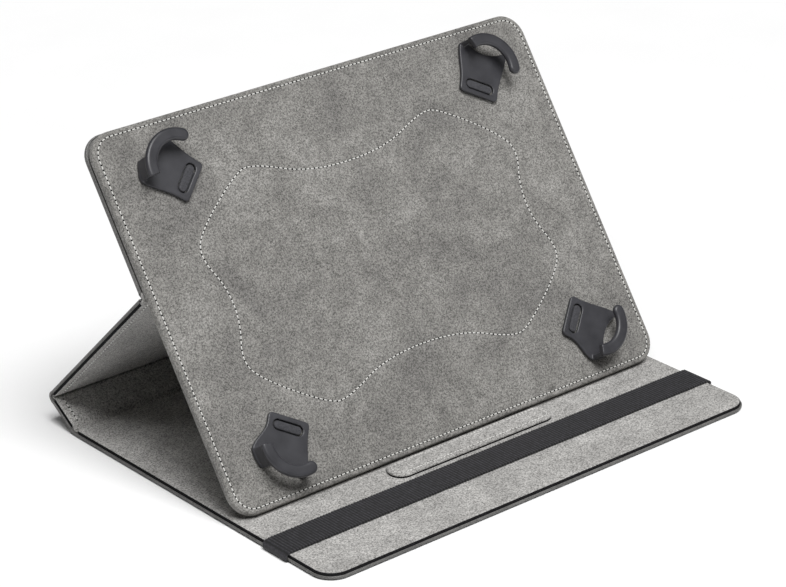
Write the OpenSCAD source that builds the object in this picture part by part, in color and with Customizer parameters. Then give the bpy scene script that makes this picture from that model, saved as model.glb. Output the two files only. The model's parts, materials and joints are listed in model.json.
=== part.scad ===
// Folding tablet case, standing open: a front cover lying flat, a narrow spine, a prop and a holding plate
// with four corner clips on elastic straps. Every panel is a stiff board between an outer skin and a lining.
// Millimetres, +Z up. The origin is the middle of the front cover's underside, +X runs along the folds and
// +Y from the cover's free edge towards the spine.

/* [Covers] */
// Width of the front cover, spine, prop and rear panel, measured along the folds
cover_w = 256; // [225:1:310]
// Depth of the front cover, from its free edge to its fold
cover_d = 193; // [170:1:235]
// Radius of the covers' free corners
cover_corner_r = 11; // [4:0.5:16]
// Thickness of the outer skin
skin_t = 0.8; // [0.6:0.1:1.2]
// Thickness of the stiff boards in the covers
board_t = 1.6; // [1:0.1:2.5]
// Thickness of the soft lining
lining_t = 0.6; // [0.5:0.1:1]
// Width of the skin's rolled edge around each board
edge_roll = 1.2; // [0.8:0.1:2.5]
// How far the rolled edge stays below the lining's face
roll_step = 0.3; // [0.1:0.05:0.6]

/* [Folds] */
// Length of the spine, from fold to fold
spine_len = 22; // [16:0.5:28]
// Angle of the spine above the table
spine_tilt = 33; // [20:1:45]
// Length of the prop, from fold to fold
prop_len = 114; // [95:1:138]
// Height of the prop's fold, measured up the plate from its lower edge
fold_height = 107; // [88:1:130]
// Distance from the front cover's fold to the plate's heel
heel_from_fold = 127; // [105:1:150]
// Distance from each fold's line to the board on either side of it
fold_gap = 3; // [2.5:0.1:4]
// Thickness of the bending strip at each fold
fold_t = 1.4; // [0.8:0.1:2]

/* [Plate] */
// Width of the holding plate
plate_w = 255; // [220:1:308]
// Height of the holding plate
plate_h = 183; // [160:1:222]
// Radius of the plate's corners
plate_corner_r = 12; // [6:0.5:18]
// Thickness of the stiff board in the plate
plate_board_t = 2.8; // [2:0.1:4]
// Thickness of the adhesive sheet between the rear panel and the plate
glue_t = 1; // [0.9:0.1:1.5]
// How far the rear panel stands above the plate's top edge
rear_overhang = 0.5; // [0:0.1:3]

/* [Corner clips] */
// Distance of each clip's slot from the plate's side edge
clip_inset_x = 40.3; // [36:0.1:50]
// Distance of each clip's slot from the plate's top or bottom edge
clip_inset_y = 31; // [28:0.1:40]
// Directions in which the clips pull out, from +X: top left, top right, bottom left, bottom right
clip_angles = [134, 57, 236, 318]; // [0:1:359]
// Width of the clip's base at its slot
clip_w = 21; // [20:0.5:26]
// Thickness of the clip's base
clip_base_t = 1.8; // [1.5:0.1:2.5]
// Height of the hook's top above the plate
hook_h = 11; // [10.5:0.5:14]
// Thickness of the hook's finger
finger_t = 3; // [2:0.1:3.2]
// Width of the hook's finger, measured outwards
finger_w = 6; // [4:0.2:7]
// Outer radius of the hook's bend
hook_r = 17.5; // [15:0.5:19]
// Distance from the slot to the centre of the hook's bend
hook_out = 7.5; // [6:0.5:9]
// Length of the slot in the clip's base
slot_len = 15.5; // [14:0.5:16.5]
// Width of the slot in the clip's base
slot_w = 5.2; // [4:0.2:5.6]
// Width of the elastic strap
strap_w = 10; // [8:0.5:11]
// Length of the strap inside the plate
strap_len = 20; // [14:1:24]
// Thickness of the strap
strap_t = 0.8; // [0.5:0.1:1]

/* [Stop ridge and band] */
// Length of the padded stop ridge
ridge_len = 96; // [70:1:140]
// Width of the padded stop ridge
ridge_w = 13.2; // [9:0.2:18]
// Height of the padded stop ridge above the lining
ridge_h = 2.2; // [1.6:0.1:4]
// Gap between the stop ridge and the plate's heel, seen from above
ridge_gap = 0.6; // [0.4:0.1:3]
// Width of the closing band
band_w = 16.5; // [8:0.5:22]
// Thickness of the closing band
band_t = 1.2; // [0.8:0.1:2]
// Distance from the cover's free edge to the band's middle
band_from_edge = 36.3; // [26:0.1:44]

/* [Stitching] */
// Width of a sewn thread line
thread_w = 0.7; // [0.4:0.1:1]
// Distance from the plate's edge to its stitching
plate_stitch_inset = 2.8; // [2.5:0.1:6]
// Distance from the covers' edges to their stitching
cover_stitch_inset = 4.5; // [3:0.1:8]
// Distance from the stop ridge's edge to its stitching
ridge_stitch_inset = 1.8; // [1.2:0.1:3]

/* [Hidden] */
$fn = 64;

// Colours of the materials
skin_grey = "#77787a";
board_brown = "#8d7b63";
lining_grey = "#9b9b96";
plate_grey = "#8a8a84";
thread_white = "#d9d9d6";
clip_grey = "#47474b";
band_grey = "#3b3a3f";
glue_yellow = "#cfc9a8";
foam_grey = "#6f6f72";

// Clearance between pieces that move past each other
gap = 0.3;
// Depth of the groove that a thread lies in
thread_d = 0.3;
// A cut runs this far past the face that it opens
cut = 1;
// Clearance of a pocket around what lies in it
pocket_gap = 0.1;

panel_t = skin_t + board_t + lining_t;
axis_z = panel_t / 2;
plate_back_z = skin_t + board_t + glue_t;
plate_t = lining_t + plate_board_t + lining_t;
plate_front_z = plate_back_z + plate_t;
plate_edge_roll = 1;
rear_h = plate_h + rear_overhang - fold_height;

// The folds' places, seen along +X as [y, z]. The heel is the plate's lower back edge, which stands on the lining.
fold1 = [cover_d / 2, axis_z];
fold2 = fold1 + spine_len * [cos(spine_tilt), sin(spine_tilt)];
heel = [cover_d / 2 - heel_from_fold, panel_t + gap];
heel_to_fold2 = norm(fold2 - heel);
heel_to_fold3 = norm([fold_height, plate_back_z - axis_z]);
heel_rise = atan2(fold2[1] - heel[1], fold2[0] - heel[0]);
heel_angle = acos((pow(heel_to_fold2, 2) + pow(heel_to_fold3, 2) - pow(prop_len, 2))
                  / (2 * heel_to_fold2 * heel_to_fold3));
plate_tilt = heel_rise + heel_angle + atan2(plate_back_z - axis_z, fold_height);
fold3 = heel + heel_to_fold3 * [cos(heel_rise + heel_angle), sin(heel_rise + heel_angle)];
prop_tilt = atan2(fold3[1] - fold2[1], fold3[0] - fold2[0]);
echo(fold1 = fold1, fold2 = fold2, fold3 = fold3, prop_tilt = prop_tilt, plate_tilt = plate_tilt);

// The clip's parts, in its own frame: +X outwards from the slot, +Z off the plate's face
hook_mid_r = hook_r - finger_w / 2;
finger_corner_r = 1.4;
leg_sweep = 33.4;
leg_short = 0.6;
leg_t = 2.4;
leg_inset = 0.35;
clip_back = -5;
clip_corner_r = 2;
flare_start = 0;
tip_side_angle = 48;
notch_from_slot = 10;
notch_r = 17;
flange_t = 0.7;
flange_wider = 1.5;
anchor_smaller = 1.2;
slit_at = -4;
arc_steps = 6;

// Where a clip's slot lies in the plate's frame, and the side that its finger points to
clip_xs = [-1, 1, -1, 1];
clip_ys = [1, 1, -1, -1];

// Where the finger's rounded tip and its cut end stand round the bend. The lower clips' fingers reach less far.
tip_angles = [-72, -72, -45, -45];
cut_angles = [50, 50, 66, 66];

// ---- frames ----

// A panel's frame: +Y away from its first fold, Z 0 at its outer face. The plate shares the rear panel's frame.
module at_fold(fold, tilt) {
    translate([0, fold[0], fold[1]])
        rotate([tilt, 0, 0])
            translate([0, 0, -axis_z])
                children();
}

module at_cover() { at_fold(fold1, 0) children(); }
module at_spine() { at_fold(fold1, spine_tilt) children(); }
module at_prop() { at_fold(fold2, prop_tilt) children(); }
module at_plate() { at_fold(fold3, plate_tilt) children(); }

// The frame of clip i, with Z 0 on the plate's face
module at_clip(i) {
    translate([clip_xs[i] * (plate_w / 2 - clip_inset_x),
               plate_h / 2 - fold_height + clip_ys[i] * (plate_h / 2 - clip_inset_y), plate_front_z])
        rotate([0, 0, clip_angles[i]])
            children();
}

// ---- outlines ----

// A rectangle from y0 to y1 with corner radius r0 at y0 and r1 at y1; 0 is a square corner
module outline(w, y0, y1, r0, r1) {
    translate([-w / 2, y0 + r0]) square([w, y1 - y0 - r0 - r1]);
    if (r0 > 0) rounded_end(w, y0 + r0, r0, -1);
    if (r1 > 0) rounded_end(w, y1 - r1, r1, 1);
}

// The rounded end of an outline: everything beyond y, on the side that way says
module rounded_end(w, y, r, way) {
    translate([-w / 2 + r, way > 0 ? y : y - r]) square([w - 2 * r, r]);
    for (x = [-w / 2 + r, w / 2 - r]) translate([x, y]) circle(r);
}

// A pill: a bar with half-round ends
module pill(length, width) {
    square([length - width, width], center = true);
    for (x = [-1, 1]) translate([x * (length - width) / 2, 0]) circle(d = width);
}

// Points of an arc about c
function arc(c, r, a0, a1, n) = [for (i = [0 : n]) let (a = a0 + (a1 - a0) * i / n) c + r * [cos(a), sin(a)]];

// A rounded rectangle's points, centred
function rounded_points(w, h, r) = concat(
    arc([w / 2 - r, -h / 2 + r], r, -90, 0, arc_steps), arc([w / 2 - r, h / 2 - r], r, 0, 90, arc_steps),
    arc([-w / 2 + r, h / 2 - r], r, 90, 180, arc_steps), arc([-w / 2 + r, -h / 2 + r], r, 180, 270, arc_steps));

// ---- panels ----

// The outer skin: a face with a rolled edge around the board
module skin(y0, y1, r0, r1, face_t, height, roll) {
    difference() {
        linear_extrude(height) outline(cover_w, y0, y1, r0, r1);
        translate([0, 0, face_t]) linear_extrude(height) inside_roll(y0, y1, r0, r1, roll);
    }
}

// The outline inside the rolled edge
module inside_roll(y0, y1, r0, r1, roll) {
    outline(cover_w - 2 * roll, y0 + roll, y1 - roll, max(r0 - roll, 0), max(r1 - roll, 0));
}

module cover_skin(y0, y1, r0, r1) {
    skin(y0, y1, r0, r1, skin_t, panel_t - roll_step, edge_roll);
}

module cover_board(y0, y1, r0, r1) {
    translate([0, 0, skin_t]) linear_extrude(board_t) inside_roll(y0, y1, r0, r1, edge_roll);
}

module cover_lining(y0, y1, r0, r1) {
    translate([0, 0, skin_t + board_t]) linear_extrude(lining_t) inside_roll(y0, y1, r0, r1, edge_roll);
}

// A bending strip from the edge of a panel to the fold's line, with its rounded end on that line
module fold_strip(way) {
    length = cover_w - 2 * edge_roll;
    translate([-length / 2, min(0, way * fold_gap), axis_z - fold_t / 2]) cube([length, fold_gap, fold_t]);
    translate([-length / 2, 0, axis_z]) rotate([0, 90, 0]) cylinder(d = fold_t, h = length);
}

// Two thread lines along a panel's short edges
module edge_rows(y0, y1) {
    for (x = [-1, 1])
        translate([x * (cover_w / 2 - cover_stitch_inset) - thread_w / 2, y0 + cover_stitch_inset])
            square([thread_w, y1 - y0 - 2 * cover_stitch_inset]);
}

// The same outline at the outer face and at the lining's face of a cover panel, as deep as a thread
module both_faces() {
    linear_extrude(thread_d) children();
    translate([0, 0, panel_t - thread_d]) linear_extrude(thread_d) children();
}

// A groove for a thread, open towards the face at z
module groove(z, way) {
    translate([0, 0, way > 0 ? z - thread_d : z - cut]) linear_extrude(thread_d + cut) children();
}

// ---- front cover ----

module front_cover_skin() {
    color(skin_grey) difference() {
        at_cover() cover_skin(-cover_d, -fold_gap, cover_corner_r, 0);
        for (side = [-1, 1]) band_notch(side);
    }
}

module front_cover_board() {
    color(board_brown) at_cover() cover_board(-cover_d, -fold_gap, cover_corner_r, 0);
}

module front_cover_lining() {
    color(lining_grey) at_cover() cover_lining(-cover_d, -fold_gap, cover_corner_r, 0);
}

module front_fold() {
    color(lining_grey) at_cover() fold_strip(-1);
}

// The ridge lies in front of the heel, as far as the plate's thickness and its own gap ask for
ridge_y = heel[0] - plate_t * sin(plate_tilt) - ridge_gap - ridge_w / 2;
ridge_cover_t = 0.5;

module stop_ridge_core() {
    color(foam_grey) translate([0, ridge_y, panel_t])
        linear_extrude(ridge_h - ridge_cover_t) pill(ridge_len - 2 * ridge_cover_t, ridge_w - 2 * ridge_cover_t);
}

module stop_ridge_cover() {
    color(lining_grey) translate([0, ridge_y, panel_t]) difference() {
        linear_extrude(ridge_h) pill(ridge_len, ridge_w);
        translate([0, 0, -cut])
            linear_extrude(ridge_h - ridge_cover_t + cut)
                pill(ridge_len - 2 * ridge_cover_t, ridge_w - 2 * ridge_cover_t);
        groove(ridge_h, 1) ridge_thread();
    }
}

module stop_ridge_stitching() {
    color(thread_white) translate([0, ridge_y, panel_t + ridge_h - thread_d])
        linear_extrude(thread_d) ridge_thread();
}

module ridge_thread() {
    difference() {
        pill(ridge_len - 2 * ridge_stitch_inset, ridge_w - 2 * ridge_stitch_inset);
        pill(ridge_len - 2 * ridge_stitch_inset - 2 * thread_w, ridge_w - 2 * ridge_stitch_inset - 2 * thread_w);
    }
}

// ---- closing band ----

band_y = band_from_edge - cover_d / 2;
// How far the band's sewn ends reach in over the lining, and under the board
band_tab_top = 6;
band_tab_under = 14;

// The cut in the skin that a band end lies in, flush with the cover's underside
module band_notch(side) {
    translate([side * (cover_w - band_tab_under) / 2, band_y, 0])
        cube([band_tab_under + pocket_gap, band_w + 2 * pocket_gap, 2 * skin_t], center = true);
}

// A sewn end: over the lining, round the cover's edge and into the skin's cut
module band_end(side) {
    color(band_grey) translate([0, band_y - band_w / 2, 0]) {
        across(side, cover_w / 2 - band_tab_top, cover_w / 2 + band_t, panel_t, band_t);
        across(side, cover_w / 2, cover_w / 2 + band_t, 0, panel_t);
        across(side, cover_w / 2 - band_tab_under, cover_w / 2 + band_t, 0, skin_t);
    }
}

// A stretch of band from x0 to x1 on one side, z high from z0
module across(side, x0, x1, z0, height) {
    translate([side > 0 ? x0 : -x1, 0, z0]) cube([x1 - x0, band_w, height]);
}

module band_end_left() { band_end(-1); }
module band_end_right() { band_end(1); }

module elastic_band() {
    length = cover_w - 2 * (band_tab_top + gap);
    color(band_grey) translate([-length / 2, band_y - band_w / 2, panel_t + gap])
        cube([length, band_w, band_t]);
}

// ---- spine and prop ----

module spine_skin() {
    color(skin_grey) at_spine() difference() {
        cover_skin(fold_gap, spine_len - fold_gap, 0, 0);
        groove(0, -1) edge_rows(fold_gap, spine_len - fold_gap);
    }
}

module spine_board() {
    color(board_brown) at_spine() cover_board(fold_gap, spine_len - fold_gap, 0, 0);
}

module spine_lining() {
    color(lining_grey) at_spine() difference() {
        cover_lining(fold_gap, spine_len - fold_gap, 0, 0);
        groove(panel_t, 1) edge_rows(fold_gap, spine_len - fold_gap);
    }
}

module spine_stitching() {
    color(thread_white) at_spine() both_faces() edge_rows(fold_gap, spine_len - fold_gap);
}

module spine_fold() {
    color(lining_grey) at_spine() translate([0, spine_len, 0]) fold_strip(-1);
}

module prop_skin() {
    color(skin_grey) at_prop() difference() {
        cover_skin(fold_gap, prop_len - fold_gap, 0, 0);
        groove(0, -1) edge_rows(fold_gap, prop_len - fold_gap);
    }
}

module prop_board() {
    color(board_brown) at_prop() cover_board(fold_gap, prop_len - fold_gap, 0, 0);
}

module prop_lining() {
    color(lining_grey) at_prop() difference() {
        cover_lining(fold_gap, prop_len - fold_gap, 0, 0);
        groove(panel_t, 1) edge_rows(fold_gap, prop_len - fold_gap);
    }
}

module prop_stitching() {
    color(thread_white) at_prop() both_faces() edge_rows(fold_gap, prop_len - fold_gap);
}

module prop_fold() {
    color(lining_grey) at_prop() translate([0, prop_len, 0]) fold_strip(-1);
}

// ---- rear panel ----

// The thread runs up one short edge, along the top and down the other
module rear_thread() {
    difference() {
        rear_thread_outline(0);
        rear_thread_outline(thread_w);
        translate([-cover_w / 2, fold_gap + cover_stitch_inset - cut]) square([cover_w, cut + thread_w]);
    }
}

module rear_thread_outline(inner) {
    inset = cover_stitch_inset + inner;
    outline(cover_w - 2 * inset, fold_gap + cover_stitch_inset - cut * inner, rear_h - inset,
            0, cover_corner_r - inset);
}

module rear_panel_skin() {
    color(skin_grey) at_plate() difference() {
        skin(fold_gap, rear_h, 0, cover_corner_r, skin_t, skin_t + board_t, edge_roll);
        groove(0, -1) rear_thread();
    }
}

module rear_panel_board() {
    color(board_brown) at_plate() cover_board(fold_gap, rear_h, 0, cover_corner_r);
}

module rear_panel_stitching() {
    color(thread_white) at_plate() linear_extrude(thread_d) rear_thread();
}

// The adhesive sheet that joins the rear panel to the plate's back
module plate_glue_sheet() {
    color(glue_yellow) at_plate() translate([0, 0, skin_t + board_t])
        linear_extrude(glue_t) inside_roll(fold_gap, rear_h - rear_overhang, 0, cover_corner_r, 4 * edge_roll);
}

// ---- holding plate ----

plate_y0 = -fold_height;
plate_y1 = plate_h - fold_height;

module plate_outline(inset) {
    outline(plate_w - 2 * inset, plate_y0 + inset, plate_y1 - inset, plate_corner_r - inset, plate_corner_r - inset);
}

module plate_back_lining() {
    color(plate_grey) at_plate() translate([0, 0, plate_back_z])
        linear_extrude(lining_t) plate_outline(0);
}

module plate_board() {
    color(board_brown) at_plate() difference() {
        translate([0, 0, plate_back_z + lining_t]) linear_extrude(plate_board_t) plate_outline(plate_edge_roll);
        for (i = [0 : 3]) at_clip(i) strap_pocket();
    }
}

// The face lining is turned over the board's edge and meets the back lining
module plate_face_lining() {
    color(plate_grey) at_plate() difference() {
        translate([0, 0, plate_back_z + lining_t])
            linear_extrude(plate_board_t + lining_t) plate_outline(0);
        translate([0, 0, plate_back_z + lining_t - cut])
            linear_extrude(plate_board_t + cut) plate_outline(plate_edge_roll);
        groove(plate_front_z, 1) plate_thread();
        groove(plate_front_z, 1) seam_thread();
        for (i = [0 : 3]) at_clip(i) strap_slit();
    }
}

module plate_thread() {
    difference() {
        plate_outline(plate_stitch_inset);
        plate_outline(plate_stitch_inset + thread_w);
    }
}

module plate_edge_stitching() {
    color(thread_white) at_plate() translate([0, 0, plate_front_z - thread_d])
        linear_extrude(thread_d) plate_thread();
}

// The seam in the middle is one smooth closed line. These are the corners that a quarter of it is drawn towards,
// in millimetres from the plate's middle for a plate of the seam's own size.
seam_quarter = [[88, 8.5], [95.5, 25.5], [88.5, 36.5], [62, 55.5], [51, 58.5], [22, 46]];
seam_w = 255;
seam_h = 183;
seam_steps = 5;

// The four quarters, one after the other round the plate's middle
function mirrored(points, x, y) = [for (p = points) [p[0] * x, p[1] * y]];
function backwards(points) = [for (i = [len(points) - 1 : -1 : 0]) points[i]];
seam_corners = concat(seam_quarter, backwards(mirrored(seam_quarter, -1, 1)),
                      mirrored(seam_quarter, -1, -1), backwards(mirrored(seam_quarter, 1, -1)));

// A curve that touches the middle of each side between neighbouring corners
function bend(a, b, c, t) = (1 - t) * (1 - t) * (a + b) / 2 + 2 * t * (1 - t) * b + t * t * (b + c) / 2;
function smooth(q) = [for (i = [0 : len(q) - 1], s = [0 : seam_steps - 1])
    bend(q[(i + len(q) - 1) % len(q)], q[i], q[(i + 1) % len(q)], s / seam_steps)];
seam_scaled = [for (p = smooth(seam_corners)) [p[0] * plate_w / seam_w, p[1] * plate_h / seam_h]];

// The line moved sideways by d, to the left of its direction
function aside(q, d) = [for (i = [0 : len(q) - 1])
    let (along = q[(i + 1) % len(q)] - q[(i + len(q) - 1) % len(q)], u = along / norm(along))
    q[i] + d * [-u[1], u[0]]];

module seam_thread() {
    translate([0, plate_h / 2 - fold_height]) difference() {
        polygon(aside(seam_scaled, -thread_w / 2));
        polygon(aside(seam_scaled, thread_w / 2));
    }
}

module centre_seam_stitching() {
    color(thread_white) at_plate() translate([0, 0, plate_front_z - thread_d])
        linear_extrude(thread_d) seam_thread();
}

// ---- straps ----

// A strap lies in a pocket under the face lining and comes up through a slit beneath its clip
module strap_body(spare) {
    under = -lining_t - strap_t;
    translate([slit_at - strap_len - spare, -strap_w / 2 - spare, under - spare])
        cube([strap_len + strap_t + 2 * spare, strap_w + 2 * spare, strap_t + 2 * spare]);
    translate([slit_at - spare, -strap_w / 2 - spare, under - spare])
        cube([strap_t + 2 * spare, strap_w + 2 * spare, -under + spare]);
}

module strap_pocket() {
    intersection() {
        strap_body(pocket_gap);
        translate([slit_at - 2 * strap_len, -strap_w, -lining_t - 2 * strap_t])
            cube([4 * strap_len, 2 * strap_w, 2 * strap_t]);
    }
}

module strap_slit() {
    translate([slit_at - pocket_gap, -strap_w / 2 - pocket_gap, -2 * lining_t])
        cube([strap_t + 2 * pocket_gap, strap_w + 2 * pocket_gap, 2 * lining_t + cut]);
}

module strap(i) {
    color(band_grey) at_plate() at_clip(i) difference() {
        strap_body(0);
        translate([slit_at - cut, -strap_w, -lining_t / 4]) cube([3 * cut, 2 * strap_w, cut]);
    }
}

module strap_top_left() { strap(0); }
module strap_top_right() { strap(1); }
module strap_bottom_left() { strap(2); }
module strap_bottom_right() { strap(3); }

// ---- clips ----

// One side of the base: straight at first, then swelling out to meet the hook's bend at an angle
function ease(t) = t * t * (3 - 2 * t);
function base_side(angle) =
    let (flare_end = hook_out + hook_r * cos(angle), bend_half_w = hook_r * sin(angle),
         start = clip_back + clip_corner_r)
    [for (i = [0 : 2 * arc_steps])
        let (f = start + (flare_end - start) * i / (2 * arc_steps), t = (f - flare_start) / (flare_end - flare_start))
        [f, clip_w / 2 + (bend_half_w - clip_w / 2) * ease(max(0, t))]];

// The base's outline, anticlockwise from the corner behind the slot
function base_points(i) = concat(
    arc([clip_back + clip_corner_r, -clip_w / 2 + clip_corner_r], clip_corner_r, 180, 260, arc_steps),
    mirrored(base_side(tip_side_angle), 1, -1),
    arc([hook_out, 0], hook_r, 5 - tip_side_angle, cut_angles[i] - 5, 4 * arc_steps),
    backwards(base_side(cut_angles[i])),
    arc([clip_back + clip_corner_r, clip_w / 2 - clip_corner_r], clip_corner_r, 100, 180, arc_steps));

module clip_base(i) {
    difference() {
        linear_extrude(clip_base_t) difference() {
            polygon(base_points(i));
            translate([hook_out + notch_from_slot + notch_r, 0]) circle(notch_r);
            rotate(90) pill(slot_len, slot_w);
        }
        translate([0, 0, -cut]) linear_extrude(flange_t + cut)
            rotate(90) pill(slot_len + 2 * flange_wider, slot_w + flange_wider);
    }
}

// The finger's section sweeps round the hook's bend and ends in a half-round tip
module clip_finger(i) {
    section = rounded_points(finger_w, finger_t, finger_corner_r);
    translate([hook_out, 0, hook_h - gap - finger_t / 2]) {
        rotate([0, 0, tip_angles[i]]) rotate_extrude(angle = cut_angles[i] - tip_angles[i])
            translate([hook_mid_r, 0]) polygon(section);
        rotate([0, 0, tip_angles[i]]) translate([hook_mid_r, 0, 0]) rotate_extrude()
            intersection() {
                polygon(section);
                translate([0, -finger_t]) square([finger_w, 2 * finger_t]);
            }
    }
}

// The leg is the curved wall that carries the finger at one side of the bend
module clip_leg(i) {
    translate([hook_out, 0, 0]) rotate([0, 0, cut_angles[i] - leg_sweep - leg_short])
        rotate_extrude(angle = leg_sweep)
            translate([hook_r - leg_t, 0]) square([leg_t - leg_inset, hook_h - gap - finger_t / 2]);
}

// Lower clips are the mirror image of upper ones
module clip(i) {
    color(clip_grey) at_plate() at_clip(i) mirror([0, clip_ys[i] > 0 ? 0 : 1, 0]) translate([0, 0, gap]) {
        clip_base(i);
        clip_finger(i);
        clip_leg(i);
    }
}

module clip_top_left() { clip(0); }
module clip_top_right() { clip(1); }
module clip_bottom_left() { clip(2); }
module clip_bottom_right() { clip(3); }

// The strap's end: a bar that fills the slot, with a flange that can't pull through it
module anchor(i) {
    color(band_grey) at_plate() at_clip(i) translate([0, 0, gap]) rotate(90) {
        linear_extrude(clip_base_t) pill(slot_len - anchor_smaller, slot_w - anchor_smaller);
        linear_extrude(flange_t - pocket_gap)
            pill(slot_len + 2 * flange_wider - anchor_smaller / 2, slot_w + flange_wider - anchor_smaller / 2);
    }
}

module anchor_top_left() { anchor(0); }
module anchor_top_right() { anchor(1); }
module anchor_bottom_left() { anchor(2); }
module anchor_bottom_right() { anchor(3); }

// ---- nodes ----

front_cover_skin();
front_cover_board();
front_cover_lining();
front_fold();
stop_ridge_core();
stop_ridge_cover();
stop_ridge_stitching();
band_end_left();
band_end_right();
spine_skin();
spine_board();
spine_lining();
spine_stitching();
spine_fold();
prop_skin();
prop_board();
prop_lining();
prop_stitching();
prop_fold();
rear_panel_skin();
rear_panel_board();
rear_panel_stitching();
plate_glue_sheet();
plate_back_lining();
plate_board();
plate_face_lining();
plate_edge_stitching();
centre_seam_stitching();
strap_top_left();
strap_top_right();
strap_bottom_left();
strap_bottom_right();
clip_top_left();
clip_top_right();
clip_bottom_left();
clip_bottom_right();
anchor_top_left();
anchor_top_right();
anchor_bottom_left();
anchor_bottom_right();
elastic_band();
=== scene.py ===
# %% [markdown]
# # A folding tablet case, standing open
# The case is a stack of stiff boards between synthetic leather and suede-like microfibre. It is
# modelled panel by panel: each panel is made lying flat, as it is cut and glued, and is then laid into
# its place on the frame. The frame, loaded first, gives every size, fold and joint.

# %% Load the frame
import json
import math
import random

import bmesh
import bpy
import numpy as np
from mathutils import Matrix, Vector


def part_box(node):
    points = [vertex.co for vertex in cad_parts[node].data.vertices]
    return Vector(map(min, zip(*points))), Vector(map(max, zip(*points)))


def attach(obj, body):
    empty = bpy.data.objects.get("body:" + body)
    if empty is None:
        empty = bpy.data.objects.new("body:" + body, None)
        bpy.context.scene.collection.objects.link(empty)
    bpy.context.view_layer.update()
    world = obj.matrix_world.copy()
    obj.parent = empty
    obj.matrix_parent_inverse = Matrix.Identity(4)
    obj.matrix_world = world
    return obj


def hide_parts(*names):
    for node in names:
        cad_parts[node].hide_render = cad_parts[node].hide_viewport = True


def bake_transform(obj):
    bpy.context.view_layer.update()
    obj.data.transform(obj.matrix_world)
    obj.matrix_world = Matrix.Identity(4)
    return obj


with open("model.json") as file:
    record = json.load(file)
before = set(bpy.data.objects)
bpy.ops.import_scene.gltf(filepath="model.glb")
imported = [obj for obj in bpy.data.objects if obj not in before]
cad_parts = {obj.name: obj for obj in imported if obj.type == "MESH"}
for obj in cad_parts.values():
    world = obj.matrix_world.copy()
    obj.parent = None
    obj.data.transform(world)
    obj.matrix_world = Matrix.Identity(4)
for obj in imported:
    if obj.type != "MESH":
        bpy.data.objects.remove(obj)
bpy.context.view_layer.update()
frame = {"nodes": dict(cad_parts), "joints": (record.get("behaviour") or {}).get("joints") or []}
MM = 0.001
dice = random.Random(7)

# %% [markdown]
# ## Where the panels lie
# Each panel turns about a fold, so its place is one matrix: move to the fold, tilt about X, and drop by
# half the panel's thickness, because the fold's line runs through the middle of the boards. The folds
# come from the joints. The plate's tilt comes from the directions in which two of its clips slide,
# since both lie in it.

# %% Panel frames
joints = {j["name"]: j for j in frame["joints"]}
fold_1 = Vector(joints["front_fold_hinge"]["pos_m"])
fold_2 = Vector(joints["spine_fold_hinge"]["pos_m"])
fold_3 = Vector(joints["prop_fold_hinge"]["pos_m"])
slide_a = Vector(joints["clip_pull_top_left"]["axis"])
slide_b = Vector(joints["clip_pull_top_right"]["axis"])
plate_normal = slide_b.cross(slide_a).normalized()

spine_tilt = math.atan2(fold_2.z - fold_1.z, fold_2.y - fold_1.y)
prop_tilt = math.atan2(fold_3.z - fold_2.z, fold_3.y - fold_2.y)
plate_tilt = math.atan2(-plate_normal.y, plate_normal.z)
panel_t = 2 * fold_1.z


def panel_matrix(fold, tilt):
    """The place of a panel that was modelled flat, with its fold at y 0 and its outer face at z 0."""
    drop = Matrix.Translation((0, 0, -panel_t / 2))
    return Matrix.Translation(fold) @ Matrix.Rotation(tilt, 4, "X") @ drop


AT_COVER = panel_matrix(fold_1, 0)
AT_SPINE = panel_matrix(fold_1, spine_tilt)
AT_PROP = panel_matrix(fold_2, prop_tilt)
AT_PLATE = panel_matrix(fold_3, plate_tilt)
print("tilts in degrees:", [round(math.degrees(a), 2) for a in (spine_tilt, prop_tilt, plate_tilt)])

# %% [markdown]
# ## Sizes
# A panel's own length and width are read from its CAD nodes, turned back flat. So when the frame
# changes, every piece follows. Only what the frame doesn't hold, such as the corners' radii, is given
# here.

# %% Sizes measured on the frame
def local_box(node, place):
    """Lowest and highest corner of a CAD node in a panel's own frame."""
    back = place.inverted()
    points = np.array([back @ v.co for v in frame["nodes"][node].data.vertices])
    return Vector(points.min(0)), Vector(points.max(0))


cover_low, cover_high = local_box("front_cover_skin", AT_COVER)
lining_low, lining_high = local_box("front_cover_lining", AT_COVER)
plate_low, plate_high = local_box("plate_face_lining", AT_PLATE)
back_low, back_high = local_box("plate_back_lining", AT_PLATE)
rear_high = local_box("rear_panel_skin", AT_PLATE)[1]
cover_w = cover_high.x - cover_low.x
cover_d = -cover_low.y
spine_len = (fold_2 - fold_1).length
prop_len = (fold_3 - fold_2).length
fold_gap = -cover_high.y
edge_roll = (cover_w - (lining_high.x - lining_low.x)) / 2
plate_w = plate_high.x - plate_low.x
plate_h = plate_high.y - plate_low.y
plate_mid_y = (plate_high.y + plate_low.y) / 2
plate_face = plate_high.z
COVER_CORNER = 11 * MM
PLATE_CORNER = 12 * MM
print(f"cover {cover_w / MM:.1f} x {cover_d / MM:.1f} mm")
print(f"plate {plate_w / MM:.1f} x {plate_h / MM:.1f} mm")

# %% [markdown]
# ## Working by hand in code
# These helpers do what a modeller's hands do: pick one object, go into edit mode, and select faces or
# edges by where they are. Everything is deselected first, because an operator works on all that is
# selected.

# %% Editing helpers
def pick(obj):
    """Makes obj the only selected and the active object."""
    bpy.ops.object.select_all(action="DESELECT")
    obj.select_set(True)
    bpy.context.view_layer.objects.active = obj


def edit(obj, mode="FACE"):
    """Enters edit mode on obj with nothing selected."""
    pick(obj)
    bpy.ops.object.mode_set(mode="EDIT")
    bpy.ops.mesh.select_mode(type=mode)
    bpy.ops.mesh.select_all(action="DESELECT")


def leave():
    """Goes back to object mode."""
    bpy.ops.object.mode_set(mode="OBJECT")


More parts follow.
